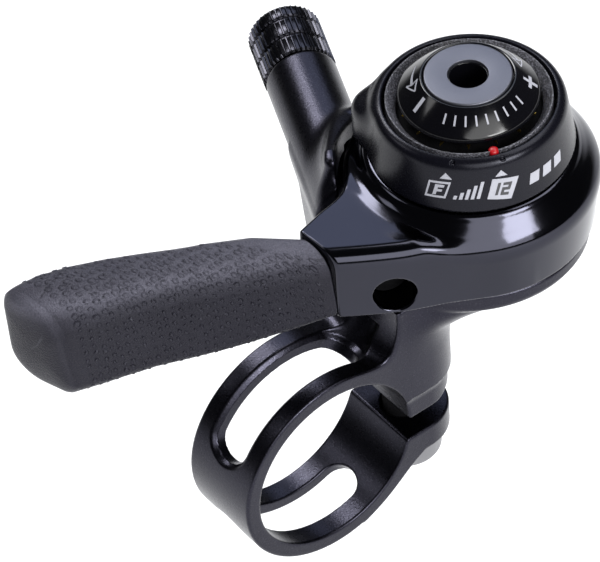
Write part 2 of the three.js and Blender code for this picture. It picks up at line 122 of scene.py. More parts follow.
def polygon(x, y, points):
    """Signed distance to a closed outline."""
    best = None
    inside = np.zeros(np.broadcast(x, y).shape, bool)
    count = len(points)
    for i in range(count):
        ax, ay = points[i]
        bx, by = points[(i + 1) % count]
        ex, ey = bx - ax, by - ay
        px, py = x - ax, y - ay
        t = np.clip((px * ex + py * ey) / (ex * ex + ey * ey), 0, 1)
        d = (px - t * ex) ** 2 + (py - t * ey) ** 2
        best = d if best is None else np.minimum(best, d)
        crosses = (ay > y) != (by > y)
        with np.errstate(divide="ignore", invalid="ignore"):
            at = ax + (y - ay) * (ex / ey if ey else 0.0)
        inside = inside ^ (crosses & (x < at))
    return np.where(inside, -1, 1) * np.sqrt(best)


def spline(points, steps=8):
    """A smooth path through the points."""
    pts = [np.array(p, float) for p in points]
    pts = [2 * pts[0] - pts[1], *pts, 2 * pts[-1] - pts[-2]]
    path = []
    for a, b, c, d in zip(pts, pts[1:], pts[2:], pts[3:]):
        for i in range(steps):
            t = i / steps
            path.append(0.5 * (2 * b + (c - a) * t + (2 * a - 5 * b + 4 * c - d) * t * t
                               + (3 * b - a - 3 * c + d) * t ** 3))
    path.append(pts[-2])
    return path


def skin(name, field, low, high, step):
    """The closed surface where a field is zero, as quads, with the field's own normals."""
    step *= FINE
    low = np.array(low, float)
    axes = [np.arange(a, b + step, step) for a, b in zip(low, high)]
    values = np.asarray(field(*np.meshgrid(*axes, indexing="ij", sparse=True)), np.float32)
    values = np.broadcast_to(values, [len(a) for a in axes])
    inside = values < 0
    strides = np.array([values.shape[1] * values.shape[2], values.shape[2], 1])
    cells, places, quads = [], [], []
    for axis in range(3):
        near, far = [slice(None)] * 3, [slice(None)] * 3
        near[axis], far[axis] = slice(0, -1), slice(1, None)
        at = np.argwhere(inside[tuple(near)] != inside[tuple(far)])
        unit = np.zeros(3, int)
        unit[axis] = 1
        first = values[tuple(at.T)].astype(float)
        second = values[tuple((at + unit).T)].astype(float)
        place = at + (first / (first - second))[:, None] * unit
        u, v = (axis + 1) % 3, (axis + 2) % 3
        corners = []
        for du, dv in ((-1, -1), (0, -1), (0, 0), (-1, 0)):
            cell = at.copy()
            cell[:, u] += du
            cell[:, v] += dv
            corners.append(cell @ strides)
            cells.append(corners[-1])
            places.append(place)
        quad = np.stack(corners, 1)
        quads.append(np.where((first > 0)[:, None], quad[:, ::-1], quad))
    ids, inverse = np.unique(np.concatenate(cells), return_inverse=True)
    places = np.concatenate(places)
    count = np.bincount(inverse)
    points = np.stack([np.bincount(inverse, weights=places[:, k]) for k in range(3)], 1)
    points = low + step * points / count[:, None]
    quads = np.searchsorted(ids, np.concatenate(quads))

    def slope(p, reach):
        columns = []
        for k in range(3):
            shift = np.zeros(3)
            shift[k] = reach
            ahead, behind = p + shift, p - shift
            columns.append((field(*ahead.T) - field(*behind.T)) / (2 * reach))
        return np.stack(columns, 1)

    for _ in range(3):
        grade = slope(points, 0.02)
        move = np.asarray(field(*points.T))[:, None] * grade / np.maximum((grade ** 2).sum(1), 0.05)[:, None]
        points = points - np.clip(move, -0.4 * step, 0.4 * step)
    normals = slope(points, 0.06)
    normals /= np.maximum(np.linalg.norm(normals, axis=1), 1e-9)[:, None]
    return make(name, points, quads, normals)


def placed(name, data):
    """A new object in the scene."""
    thing = bpy.data.objects.new(name, data)
    bpy.context.scene.collection.objects.link(thing)
    return thing


def mesh_from(name, bm):
    mesh = bpy.data.meshes.new(name)
    bm.to_mesh(mesh)
    bm.free()
    return mesh


def make(name, points, faces, normals=None):
    """A mesh object from points in millimetres."""
    mesh = bpy.data.meshes.new(name)
    mesh.from_pydata((np.asarray(points, float) * MM).tolist(), [], [list(f) for f in faces])
    mesh.validate()
    mesh.polygons.foreach_set("use_smooth", np.ones(len(mesh.polygons), bool))
    if normals is not None and len(normals) == len(mesh.vertices):
        mesh.normals_split_custom_set_from_vertices(normals.tolist())
    return placed(name, mesh)


# ------------------------------------------------------------------ turned pieces

def rounded(profile, steps=4):
    """A closed profile of (radius, height, rounding), with each corner rounded as far as it fits."""
    made = []
    count = len(profile)
    for i, (radius, height, size) in enumerate(profile):
        here = np.array((radius, height), float)
        back = np.array(profile[i - 1][:2], float) - here
        on = np.array(profile[(i + 1) % count][:2], float) - here
        reach = min(size, 0.42 * np.linalg.norm(back), 0.42 * np.linalg.norm(on))
        if size <= 0 or here[0] < 1e-6:
            made.append(here)
            continue
        a = here + back / np.linalg.norm(back) * reach
        b = here + on / np.linalg.norm(on) * reach
        for k in range(steps + 1):
            t = k / steps
            made.append((1 - t) ** 2 * a + 2 * t * (1 - t) * here + t * t * b)
    return made


def turned(name, profile, sides, wobble=None, crisp_angle=CRISP_ANGLE):
    """A closed profile turned about Z. wobble(angle, radius) may change each radius."""
    points, faces = [], []
    rows = len(profile)
    for j in range(sides):
        angle = 2 * math.pi * j / sides
        for radius, height in profile:
            r = wobble(angle, radius) if wobble else radius
            points.append((r * math.cos(angle), r * math.sin(angle), height))
    for j in range(sides):
        k = (j + 1) % sides
        for i in range(rows):
            n = (i + 1) % rows
            faces.append((j * rows + i, k * rows + i, k * rows + n, j * rows + n))
    piece = make(name, points, faces)
    mend(piece)
    crisp(piece, crisp_angle)
    return piece


def mend(piece):
    """Merges doubled points and makes every face look out."""
    bm = bmesh.new()
    bm.from_mesh(piece.data)
    bmesh.ops.remove_doubles(bm, verts=bm.verts, dist=1e-7)
    bmesh.ops.dissolve_degenerate(bm, edges=bm.edges, dist=1e-8)
    bmesh.ops.recalc_face_normals(bm, faces=bm.faces)
    bm.to_mesh(piece.data)
    bm.free()


def crisp(piece, angle):
    """Smooth shading that stops at edges sharper than an angle."""
    piece.data.polygons.foreach_set("use_smooth", np.ones(len(piece.data.polygons), bool))
    piece.data.set_sharp_from_angle(angle=math.radians(angle))


def at_hub(piece):
    piece.data.transform(Matrix.Translation((0, HUB_Y * MM, 0)))
    return piece


LIE_ALONG_CABLE = Matrix.Rotation(CABLE_TURN, 4, "Z") @ Matrix.Rotation(math.pi / 2, 4, "Y")


def on_cable(piece):
    """Lays a piece built along Z onto the cable line."""
    piece.data.transform(Matrix.Translation((0, CABLE_Y * MM, CABLE_Z * MM)) @ LIE_ALONG_CABLE)
    return piece


def along_cable(x, y):
    """Distance along the cable line and to its side away from the hub."""
    c, s = math.cos(CABLE_TURN), math.sin(CABLE_TURN)
    return x * c + (y - CABLE_Y) * s, -x * s + (y - CABLE_Y) * c


def bearing(x, y):
    """Bearing about the hub axis in degrees, from 0 to 360."""
    return np.degrees(np.arctan2(y - HUB_Y, x)) % 360


# ------------------------------------------------------------------ bracket

SPLIT_TOP = 0.0
SPLIT_BOTTOM = -3.3
EAR_FLAT_Z = -6.8
SHIELD_IN = 15.7
SHIELD_OUT = 17.1
SLOTS = ((54, 158), (202, 302))
# how the trumpet widens, as (height, share of the way from its neck to the flange)
FLARE = ((5, 0), (8, 0), (10.5, 0.03), (12.5, 0.12), (14, 0.26), (15.4, 0.45), (16.6, 0.67), (17.6, 0.88),
         (18.4, 1))
NECK_R = 5.3
# the web under the cable tube, as (distance along the cable, height)
WEB = ((6, 15.2), (14.2, 15.2), (15.4, 17), (17.2, 20.6), (19.5, 22.5), (19.5, 24), (6, 24))


def slot_field(x, y, z, start, end):
    """A band slot with round ends, seen square on from the bar's axis."""
    middle = math.radians((start + end) / 2)
    half = math.radians((end - start) / 2) * BAND_R - SLOT_HALF
    turn = (np.arctan2(z, y) - middle + math.pi) % (2 * math.pi) - math.pi
    around = np.maximum(np.abs(turn * BAND_R) - half, 0)
    return np.hypot(around, x) - SLOT_HALF


def bracket_field(x, y, z):
    bar = np.hypot(y, z)
    disc = bar - BAND_R
    # side view: the stem rises out of the band, and the lower jaw runs out under it
    stem = meet(10.2 - y, meet(0.5 - z, z - 18.2), 0)
    under = np.minimum((y - 8.6) * 0.495 - (z + 9.5) * 0.87, EAR_FLAT_Z - z)
    jaw = np.maximum(np.maximum(4 - y, y - 25), np.maximum(z + 1, under))
    side = join(disc, stem, 6.5)
    side = join(side, jaw, 1.2)
    plan = np.where(y > BOLT_Y, np.hypot(x, y - BOLT_Y), np.abs(x)) - BAND_HALF
    body = meet(side, plan, 0.4)
    # the trumpet up to the flange
    heights, shares = zip(*spline(FLARE, 6))
    share = np.interp(z, heights, shares)
    radius = NECK_R + (FLANGE_R - NECK_R) * share
    centre = BOLT_Y + (HUB_Y - BOLT_Y) * share
    trumpet = 0.45 * (np.hypot(x, y - centre) - radius)
    trumpet = np.maximum(trumpet, between(z, 4, FLANGE_TOP))
    flange = meet(np.hypot(x, y - HUB_Y) - FLANGE_R, between(z, 17.9, FLANGE_TOP), 0.5)
    base = join(trumpet, flange, 1.0)
    body = join(body, base, 1.6)
    # the cable tube on its web
    s, side_way = along_cable(x, y)
    across = np.hypot(side_way, z - CABLE_Z)
    tube = meet(across - TUBE_R, between(s, 7, TUBE_END), 0.5)
    web = meet(polygon(s, z, WEB), np.abs(side_way) - TUBE_R + 0.1, 0.8)
    stop = join(tube, web, 1.2)
    # the wall beside the hub
    hub = np.hypot(x, y - HUB_Y)
    turn = bearing(x, y)
    top = 28.4 + np.clip((turn - 200) / 31, 0, 1) * 2.8
    wall = between(hub, 14.5, SHIELD_OUT)
    wall = meet(wall, (turn - 238.5) * 0.28, 1.2)
    wall = meet(wall, (186 - turn) * 0.28, 1.2)
    wall = meet(wall, between(z, 17.6, top), 0.9)
    stop = join(stop, wall, 2.6)
    body = join(body, stop, 1.4)
    # room for the lever, then the split, the bore and the holes for bolt, post and cable
    room = np.maximum(hub - SHIELD_IN, FLANGE_TOP - z)
    body = carve(body, room, 0.5)
    split = np.maximum(between(z, SPLIT_BOTTOM, SPLIT_TOP), -y)
    body = carve(body, split, 0.35)
    body = carve(body, bar - BAR_R, 0.35)
    bolt = np.hypot(x, y - BOLT_Y)
    for hole in ((bolt - 2.7, z - 11), (bolt - 4.7, z - EAR_FLAT_Z), (hub - 4, 15 - z), (across - 3.15, 15 - s)):
        body = carve(body, np.maximum(*hole), 0.2)
    body = carve(body, np.maximum(across - 2.4, between(s, 3, 16)), 0)
    for start, end in SLOTS:
        slot = slot_field(x, y, z, start, end)
        slot = slot - 0.5 * np.clip((bar - BAND_R + 0.6) / 0.6, 0, 1)
        body = carve(body, np.maximum(slot, between(bar, 8, 17.5)), 0.25)
    return body


def build_bracket():
    piece = skin("bracket_casting", bracket_field, (-31.5, -13.6, -13.6), (13.8, 40.2, 32.4), 0.22)
    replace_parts(piece, "bracket")
    return piece, "bracket", "black_alloy"


# ------------------------------------------------------------------ lever

# the two walls of the arm, seen from above
FRONT_WALL = ((0.2, -0.9), (2.0, 1.65), (3.45, 3.7), (4.9, 5.75), (6.35, 7.9), (7.75, 10.15), (8.85, 12.4),
              (10.1, 15.0), (11.3, 17.6), (12.6, 20.6), (13.2, 23.5))
BACK_WALL = ((-9.5, 16.2), (-6.6, 13.2), (-4.9, 11.0), (-4.2, 9.2), (-3.8, 6.8), (-3.0, 3.25), (-2.5, 1.2),
             (-1.9, -0.9))
# the dished top, as (radius from the hub axis, height)
DISH = ((11, 32.05), (12.2, 31.75), (12.8, 31.05), (13.5, 30.2), (14.2, 29.55), (14.8, 29.15), (15.6, 28.9))


def lever_field(x, y, z):
    hub = np.hypot(x, y - HUB_Y)
    height = np.clip((z - LEVER_BOTTOM) / (RIM_Z - LEVER_BOTTOM), 0, 1)
    wall = (hub - (HUB_FOOT_R + (HUB_R - HUB_FOOT_R) * height)) * 0.99
    # the top is high at the cover and low at the rim
    dish = np.interp(hub, *zip(*spline(DISH, 8)))
    top = (z - dish) * 0.72
    round_part = meet(wall, top, 1.8)
    # the arm: what lies behind its front wall and before its back wall, lower towards the hub
    front = polygon(x, y, spline(FRONT_WALL, 3) + [(0, 26), (-30, 26), (-30, -0.9)])
    back = polygon(x, y, [(30, -0.9), (30, 30), (-9.5, 30)] + spline(BACK_WALL, 3))
    arm_top = (z - (ARM_TOP - 1.75 * eased((y - 11.8) / 5.2))) * 0.95
    arm = meet(meet(front, arm_top, 2.1), np.maximum(back, y - 26), 0.5)
    body = join(round_part, arm, 1.5)
    body = meet(body, LEVER_BOTTOM - z, 0.3)
    # the face that carries the grip
    joint = (3.35 - y) + 0.06 * x
    body = meet(body, joint, 0.3)
    # the wells for the cover and the post, the cable's pocket and hole, its groove and the stop
    body = carve(body, np.maximum(hub - 11.6, 24 - z), 0.2)
    body = carve(body, hub - 6.1, 0.1)
    s, side_way = along_cable(x, y)
    pocket = np.hypot(side_way + POCKET_ASIDE, z - POCKET_Z) - 2.45
    body = carve(body, np.maximum(pocket, s + 2.4), 0.45)
    body = carve(body, np.maximum(np.hypot(side_way, z - CABLE_Z) - 1.1, s - 3), 0)
    turn = bearing(x, y)
    groove = np.maximum(12.7 - hub, np.abs(z - CABLE_Z) - 1.7)
    groove = np.maximum(groove, np.maximum(40 - turn, turn - 249) * 0.26)
    body = carve(body, groove, 0.5)
    stop = between(hub, 8.6, 11.4)
    stop = np.maximum(np.maximum(stop, z - 22.4), between(turn, 42, 208) * 0.17)
    return carve(body, stop, 0.1)


def build_lever():
    piece = skin("lever", lever_field, (-15.8, 2.6, 20.2), (15.8, 42.0, 32.6), 0.2)
    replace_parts(piece, "lever_body")
    return piece, "lever", "polished_black"


# ------------------------------------------------------------------ grip
# Each station: foot of the front wall (x, y), bearing across the grip, width, bottom, top at the
# front ridge, top at the back, and how far the front wall leans back.

GRIP_STATIONS = (
    (3.28, 3.4, 184.5, 6.6, 20.35, 29.6, 30.15, 1.3),
    (1.2, -0.8, 185, 8.2, 19.4, 30.0, 30.5, 1.7),
    (-0.7, -5.1, 185, 8.4, 18.8, 30.4, 30.9, 2.0),
    (-2.3, -8.6, 186, 8.5, 18.4, 30.7, 31.0, 2.2),
    (-4.1, -12.0, 187, 8.5, 18.0, 31.0, 31.2, 2.1),
    (-5.9, -15.6, 189, 8.5, 17.75, 31.3, 31.5, 1.9),
    (-7.2, -18.8, 194, 8.7, 17.4, 31.6, 31.8, 1.7),
    (-8.1, -21.4, 199, 8.9, 17.15, 31.7, 31.85, 1.5),
    (-9.1, -24.3, 204, 9.2, 17.0, 31.7, 31.85, 1.4),
)
GRIP_CORNERS = (1.3, 5.2, 2.1, 3.1)    # radii: front foot, back foot, back top, front ridge
CORNER_STEPS = 12
GRIP_AROUND = 440       # points round a section
GRIP_ROWS = 400         # sections along the grip
THUMB_EASE = 9          # length over which the section turns into the thumb end's
THUMB_RIDGE = 3.4       # how much rounder the front ridge is at the thumb end
THUMB_ROUND = 5.5       # length over which the top rolls down to the thumb end
THUMB_DROP = 3.4        # how far the front ridge rolls down
DOT_PITCH = 1.12
ROW_PITCH = 0.87        # between rows of dots, as a share of the pitch
DOT_SCATTER = 0.2
TOP_Z = 28.6            # the top face is above this
SIDE_Z = 27.5           # dots lower than this are smaller
SEAM_START = 9
# across and along the grip: the smooth band beside the lever, and the thin seam to the far end
SMOOTH_EDGE = ((0, 2.3), (2.5, 2.9), (4.4, 3.5), (5.1, 4.5), (7.1, 5.6), (9.0, 7.0), (10.4, 7.8), (13, 9))
SEAM = ((10.4, 7.7), (15.1, 7.3), (19.5, 7.4), (23.8, 7.5), (25.4, 7.1), (27.9, 5.7), (29.8, 4.9),
        (31.2, 4.9))
# the domed thumb end, as (share of the way in to the middle, distance out)
THUMB_CAP = ((0.03, 0.4), (0.08, 0.75), (0.15, 1.0), (0.25, 1.17), (0.4, 1.32), (0.6, 1.45), (0.8, 1.5))
LEVER_CAP = ((0.85, 0.3), (0.2, 0.3), (0.07, 0.2))


def grip_outline(width, bottom, front_top, back_top, lean, thumb):
    """One section as evenly spaced points (across, height), from the front foot round the back,
    and the distance round to each. Towards the thumb end (thumb = 1) the front ridge grows rounder
    and the back foot rises."""
    radii = (*GRIP_CORNERS[:3], GRIP_CORNERS[3] + THUMB_RIDGE * thumb)
    corners = [(0, bottom), (width - 0.6, bottom + 1.3 * thumb), (width, back_top), (lean, front_top)]
    path = []
    for i, radius in enumerate(radii):
        here = np.array(corners[i], float)
        back = np.array(corners[i - 1], float) - here
        on = np.array(corners[(i + 1) % 4], float) - here
        back /= np.linalg.norm(back)
        on /= np.linalg.norm(on)
        half = math.acos(np.clip(back @ on, -1, 1)) / 2
        centre = here + (back + on) / np.linalg.norm(back + on) * radius / math.sin(half)
        first = here + back * radius / math.tan(half) - centre
        last = here + on * radius / math.tan(half) - centre
        a = math.atan2(first[1], first[0])
        b = math.atan2(last[1], last[0])
        sweep = (b - a + math.pi) % (2 * math.pi) - math.pi
        for k in range(CORNER_STEPS + 1):
            angle = a + sweep * k / CORNER_STEPS
            path.append(centre + radius * np.array((math.cos(angle), math.sin(angle))))
    path = np.array(path + [path[0]])
    length = np.concatenate([[0], np.cumsum(np.linalg.norm(np.diff(path, axis=0), axis=1))])
    even = np.linspace(0, length[-1], GRIP_AROUND, endpoint=False)
    return np.stack([np.interp(even, length, path[:, k]) for k in (0, 1)], 1), even


def grip_sections(alongs, distance, stations):
    """The smooth grip's points, their outlines (across, height) and the distances round them."""
    length = distance[-1]
    points, outlines, arounds = [], [], []
    for along in alongs:
        values = [np.interp(along, distance, stations[:, k]) for k in range(8)]
        x, y, turn, width, bottom, front_top, back_top, lean = values
        roll = np.clip((along - length + THUMB_ROUND) / THUMB_ROUND, 0, 1)
        roll = 1 - math.sqrt(1 - 0.9 * roll * roll)
        thumb = eased((along - length + THUMB_EASE) / THUMB_EASE)
        outline, around = grip_outline(width, bottom, front_top - THUMB_DROP * roll,
                                       back_top + 0.5 * thumb - 0.3 * roll, lean + 0.8 * roll, thumb)
        c, s = math.cos(math.radians(turn)), math.sin(math.radians(turn))
        points.append(np.stack([x + c * outline[:, 0], y + s * outline[:, 0], outline[:, 1]], 1))
        outlines.append(outline)
        arounds.append(around)
    return np.array(points), np.array(outlines), np.array(arounds)


def grip_dots(perimeter, length):
    """Places (around, along) and radii of the dots on the unrolled grip, with a seeded scatter."""
    rng = random.Random(7)
    step = DOT_PITCH * ROW_PITCH
    dots = []
    for i in range(int(length / step) + 1):
        along = 0.5 + i * DOT_PITCH * ROW_PITCH
        around = (i % 2) * DOT_PITCH / 2
        while around < perimeter:
            dots.append((around + rng.uniform(-DOT_SCATTER, DOT_SCATTER),
                         along + rng.uniform(-DOT_SCATTER, DOT_SCATTER), rng.uniform(0.2, 0.34)))
            around += DOT_PITCH
    return dots


def grip_relief(around, along, across, height, length):
    """How far each point stands out of the smooth grip: flat-topped dots in shallow moats, the
    step along the smooth band and the groove of the seam."""
    on_top = (height > TOP_Z) & (across > 1.5)
    wavy = np.interp(along, *zip(*SMOOTH_EDGE)) + 0.16 * np.sin(along * 4.6)
    seam_line = np.interp(along, *zip(*SEAM))
    # no dots on the smooth band, behind the seam, on the underside, the back or the ends
    beside = on_top & (across > wavy) & (along < 13)
    behind = (across > seam_line - 0.4) & (along > SEAM_START) & (along < 24) & (height > 24)
    rear = (across > 7.6) & (height < 30.2)
    keep = np.clip((along - 0.7) / 0.5, 0, 1) * np.clip((length - 0.9 - along) / 0.6, 0, 1)
    keep = keep * ~(beside | behind | rear) * ((height > 24) | (across < 4))
    rise, moat = np.zeros(across.shape), np.zeros(across.shape)
    last_row = len(along) - 1
    for centre_around, centre_along, radius in grip_dots(around.max(), length):
        row = int(np.clip(centre_along / length * last_row, 0, last_row))
        column = int(np.argmin(np.abs(around[row] - centre_around)))
        if keep[row, column] < 0.5:
            continue
        size, top, depth = (0.62, 0.07, 0.07) if height[row, column] < SIDE_Z else (1.0, 0.11, 0.09)
        near = np.hypot(around - centre_around, along - centre_along) / radius / size
        rise = np.maximum(rise, eased((1.15 - near) / 0.35) * top)
        moat = np.maximum(moat, np.exp(-((near - 1.3) / 0.22) ** 2) * depth)
    rise = np.where(rise > 0.02, rise, -moat * keep)
    step = np.clip((wavy - across) / 0.15, 0, 1) * on_top
    rise += 0.1 * step * np.clip((10.4 - along) / 4, 0, 1)
    groove = np.clip(1 - np.abs(across - seam_line) / 0.17, 0, 1) * on_top
    groove = groove * np.clip(along - SEAM_START, 0, 1) * np.clip((length - 0.2 - along) / 0.5, 0, 1)
    return rise - 0.14 * groove


def build_grip():
    stations = np.array(GRIP_STATIONS, float)
    steps = np.linalg.norm(np.diff(stations[:, :2], axis=0), axis=1)
    distance = np.concatenate([[0], np.cumsum(steps)])
    alongs = np.linspace(0, distance[-1], int(GRIP_ROWS / FINE))
    points, outlines, around = grip_sections(alongs, distance, stations)
    along = np.repeat(alongs[:, None], GRIP_AROUND, 1)
    relief = grip_relief(around, along, outlines[:, :, 0], outlines[:, :, 1], distance[-1])
    # the points move out along the normal of the smooth surface
    on = np.gradient(points, axis=0)
    normal = np.cross(np.roll(points, -1, 1) - np.roll(points, 1, 1), on)
    normal /= np.linalg.norm(normal, axis=2)[..., None]
    if ((points - points.mean(1, keepdims=True)) * normal).sum() < 0:
        normal = -normal
    rings = list(points + normal * relief[..., None])
    # a small roll-over at the lever, and a domed end, square to the last section, at the thumb
    turn = math.radians(stations[-1][2])
    face = np.array((math.sin(turn), -math.cos(turn), 0))
    face = face if face @ on[-1].mean(0) > 0 else -face
    back = -on[0].mean(0)
    back /= np.linalg.norm(back)
    start, end = rings[0], rings[-1]
    lead = [start + (start.mean(0) - start) * inset + back * out for inset, out in LEVER_CAP]
    cap = [end + (end.mean(0) - end) * inset + face * out for inset, out in THUMB_CAP]
    rings = lead + rings + cap
    faces = []
    for row in range(0, (len(rings) - 1) * GRIP_AROUND, GRIP_AROUND):
        for i in range(GRIP_AROUND):
            n = (i + 1) % GRIP_AROUND
            faces.append((row + i, row + n, row + GRIP_AROUND + n, row + GRIP_AROUND + i))
    last = (len(rings) - 1) * GRIP_AROUND
    faces.append(tuple(range(GRIP_AROUND))[::-1])
    faces.append(tuple(range(last, last + GRIP_AROUND)))
    piece = make("thumb_grip", np.concatenate(rings), faces)
    mend(piece)
    crisp(piece, 50)
    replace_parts(piece, "grip")
    return piece, "lever", "grip_rubber"


# ------------------------------------------------------------------ cover, dial and knob

RIM_NOTCHES = ((-49.3, 10.75), (-18.9, 10.85))    # (bearing, radius), over the two triangles
EAR_TURN = math.radians(220)
WASHER_TEETH = 15


def cover_field(x, y, z):
    hub = np.hypot(x, y - HUB_Y)
    side = (hub - (COVER_R - COVER_DRAFT * np.clip(z - COVER_FOOT, 0, 9))) * 0.985
    shell = meet(side, z - COVER_TOP, 1.3)
    along = x * math.cos(EAR_TURN) + (y - HUB_Y) * math.sin(EAR_TURN)
    aside = -x * math.sin(EAR_TURN) + (y - HUB_Y) * math.cos(EAR_TURN)
    ear = np.hypot(aside - 0.2, np.maximum(along - 10.8, 0)) - 3.0
    ear = np.maximum(ear, 6 - along)
    ear = meet(ear, z - 37.4 - (11.5 - hub) * 0.15, 1.5)
    body = join(shell, ear, 1.8)
    body = meet(body, COVER_FOOT - z, 0.35)
    body = carve(body, np.maximum(hub - 11.2, z - 34), 0)
    for turn, radius in RIM_NOTCHES:
        a = math.radians(turn)
        notch = np.hypot(x - radius * math.cos(a), y - HUB_Y - radius * math.sin(a)) - 0.26
        body = carve(body, np.maximum(notch, COVER_TOP - 0.5 - z), 0.1)
    return carve(body, hub - DIAL_R, 0.25)


def build_cover():
    piece = skin("dial_cover", cover_field, (-13.2, 13.2, 31.8), (12.9, 39.2, 39.8), 0.18)
    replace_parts(piece, "cover")
    return piece, "bracket", "cover_plastic"


def build_mode_ring():
    profile = rounded([(8.45, 32.5, 0), (11, 32.5, 0.1), (11, 33.8, 0.1), (9.66, 33.8, 0), (9.66, 39.1, 0.12),
                       (9.5, 39.1, 0.12), (8.6, 38.1, 0.15), (8.45, 37.9, 0.1)])
    piece = at_hub(turned("selector_ring", profile, 160))
    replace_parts(piece, "mode_ring")
    return piece, "mode_ring", "dial_plastic"


def build_mode_dot():
    turn = math.radians(-22.4)
    profile = [(0, 37.6), (0.6, 37.6), (0.6, 38.9), (0.55, 39.08), (0.42, 39.2), (0.22, 39.28), (0, 39.3)]
    piece = turned("selector_dot", profile, 32)
    piece.data.transform(Matrix.Translation((9.4 * MM * math.cos(turn), 9.4 * MM * math.sin(turn), 0)))
    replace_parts(at_hub(piece), "mode_dot")
    return piece, "mode_ring", "red_mark"


def build_knob():
    profile = rounded([(SCREW_BORE, 39, 0), (KNOB_R - 0.25, 39, 0.2), (KNOB_R, 39.3, 0.2),
                       (KNOB_R, KNOB_EDGE_Z, 0.25), (KNOB_TIP_R, KNOB_TIP_Z, 0.25), (5.22, 42.3, 0.1),
                       (5.22, 40.2, 0), (SCREW_BORE, 40.2, 0)])
    piece = at_hub(turned("knob_cone", profile, 160))
    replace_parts(piece, "tension_knob")
    return piece, "knob", "gloss_black"


def build_screw():
    profile = rounded([(0, 26, 0), (2, 26, 0.1), (2, 33.5, 0), (2.65, 33.8, 0), (2.65, 40.3, 0),
                       (5.12, 40.3, 0.1), (5.12, KNOB_TOP, 0.22), (2.35, KNOB_TOP, 0.08), (2.35, 34.5, 0.1),
                       (0, 34.5, 0)])
    piece = at_hub(turned("knob_screw", profile, 128))
    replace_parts(piece, "tension_screw")
    return piece, "knob", "grey_alloy"


def build_knob_washer():
    def scallop(angle, radius):
        tooth = max(0.0, math.cos(WASHER_TEETH * (angle - math.radians(8)))) ** 7
        return radius - 1.9 * (1 - tooth) if radius > 6 else radius
    profile = rounded([(SCREW_BORE, 38.2, 0), (8.15, 38.2, 0.1), (8.15, 38.5, 0.1), (SCREW_BORE, 38.5, 0)], 2)
    piece = at_hub(turned("knob_spring_plate", profile, 288, scallop))
    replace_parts(piece, "knob_washer")
    return piece, "bracket", "washer_brass"


# ------------------------------------------------------------------ barrel and bolt

KNURLS = 42
GROOVE_DEPTH = 0.42
BOLT_HEAD_Z = -10.4
SOCKET_R = 2.31         # to the corners
THREAD_PITCH = 0.5
THREADS = 16


def build_barrel():
    def knurl(angle, radius):
        if radius < BARREL_R - 0.12:
            return radius
        phase = (angle * KNURLS / (2 * math.pi)) % 1
        ridge = max(0.0, 1 - abs(phase - 0.5) / 0.24)
        return radius - 0.2 * (1 - min(1.0, ridge * 1.5))
    start = TUBE_END + 0.3
    low = BARREL_R - GROOVE_DEPTH
    profile = [(1.2, 20), (2.9, 20), (2.9, start - 0.2), (low, start), (BARREL_R, start + 0.25)]
    for groove in (33.7, 36.75):
        profile += [(BARREL_R, groove), (low + 0.2, groove + 0.04), (low, groove + 0.14),
                    (low, groove + 0.46), (low + 0.2, groove + 0.56), (BARREL_R, groove + 0.6)]
    profile += [(BARREL_R, BARREL_END - 0.35), (BARREL_R - 0.35, BARREL_END - 0.03),
                (BARREL_R - 0.6, BARREL_END), (2.85, BARREL_END), (2.7, BARREL_END - 0.15), (2.7, 33),
                (1.2, 33)]
    piece = on_cable(turned("barrel", profile, KNURLS * 12, knurl, 28))
    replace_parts(piece, "barrel_adjuster")
    return piece, "barrel", "barrel_alloy"


def build_bolt():
    blank = rounded([(0, BOLT_HEAD_Z, 0), (4.45, BOLT_HEAD_Z, 0.55), (4.45, EAR_FLAT_Z - 0.05, 0.1),
                     (2.4, EAR_FLAT_Z - 0.05, 0.1), (2.4, 9.5, 0), (2, 10, 0), (0, 10, 0)])
    piece = turned("pinch_bolt", blank, 96)
    bm = bmesh.new()
    bmesh.ops.create_cone(bm, cap_ends=True, segments=6, radius1=SOCKET_R * MM, radius2=SOCKET_R * MM,
                          depth=3 * MM, matrix=Matrix.Translation((0, 0, (BOLT_HEAD_Z + 0.5) * MM)))
    subtract(piece, placed("socket", mesh_from("socket", bm)))
    crisp(piece, CRISP_ANGLE)
    piece.data.transform(Matrix.Translation((0, BOLT_Y * MM, 0)))
    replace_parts(piece, "clamp_bolt")
    return piece, "bracket", "bolt_steel"


def build_pocket_shade():
    """A black disc that closes the pocket in the lever's wall: painted shade for the dark inside of the pocket.
    """
    profile = [(0, -4.2), (1.2, -4.2), (1.5, -4.0), (2.3, -3.9), (2.38, -3.7), (2.38, -2.6), (0, -2.6)]
    piece = turned("pocket_shade", profile, 48)
    c, s = math.cos(CABLE_TURN), math.sin(CABLE_TURN)
    place = Vector((POCKET_ASIDE * s, CABLE_Y - POCKET_ASIDE * c, POCKET_Z)) * MM
    piece.data.transform(Matrix.Translation(place) @ LIE_ALONG_CABLE)
    return piece, "lever"


def build_knob_shade():
    """A black ring under the knob: painted shade that makes the gap under the knob look dark."""
    profile = [(SCREW_BORE, 36.6), (8.3, 36.6), (8.35, 36.7), (8.35, 37.1), (8.2, 37.2), (SCREW_BORE, 37.2)]
    return at_hub(turned("knob_shade_ring", profile, 96)), "bracket"


def build_screw_hole_shade():
    """A black lining down the hole in the knob's screw: painted shade for the dark inside of the hole."""
    profile = rounded([(0, 35, 0), (2.32, 35, 0), (2.32, KNOB_TOP - 0.35, 0.1), (2.2, KNOB_TOP - 0.3, 0.05),
                       (2.12, KNOB_TOP - 0.5, 0.1), (2.12, 35.8, 0.1), (0, 35.8, 0)], 3)
    return at_hub(turned("screw_hole_shade", profile, 96)), "knob"


